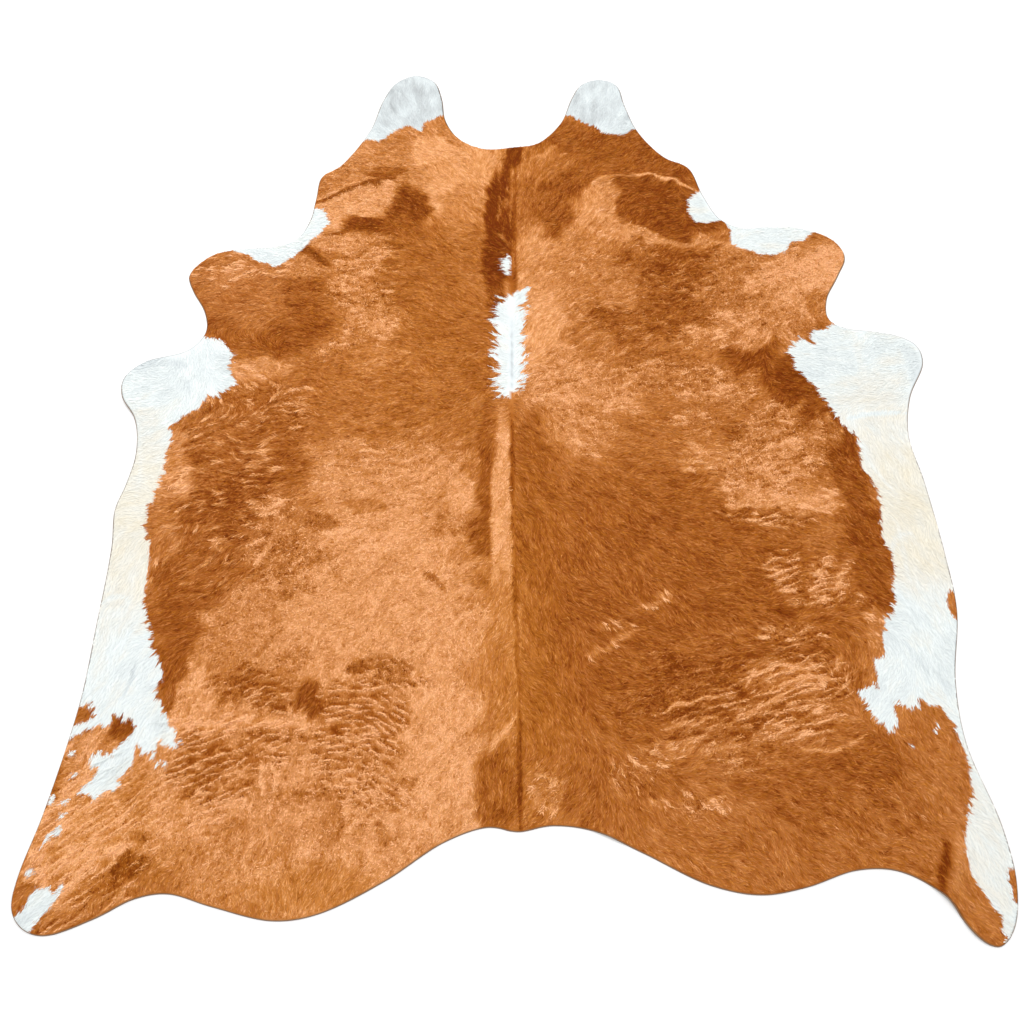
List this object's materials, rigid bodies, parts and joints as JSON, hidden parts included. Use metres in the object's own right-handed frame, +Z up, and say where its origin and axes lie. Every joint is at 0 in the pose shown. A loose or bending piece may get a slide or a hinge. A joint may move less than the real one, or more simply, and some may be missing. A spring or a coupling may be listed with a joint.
{
  "type": "cowhide rug",
  "caption": "Flat natural hide rug with a full animal outline: rounded leg, neck and flank lobes, low neck and leg creases, short lying hair over leather.",
  "frame": {"origin": "middle of the rug's outline box, on the floor under it", "axes": "+Y along the spine from the tail to the neck, +Z up out of the hair, +X to the right seen from the tail"},
  "size_m": [2.0546, 2.3898, 0.0173],
  "materials": {
    "hair_on_hide": "short lying hair, ginger with white patches, soft sheen; pale suede leather below and at the cut edge"
  },
  "bodies": {
    "root": {"hide": "hair_on_hide"}
  },
  "joints": []
}
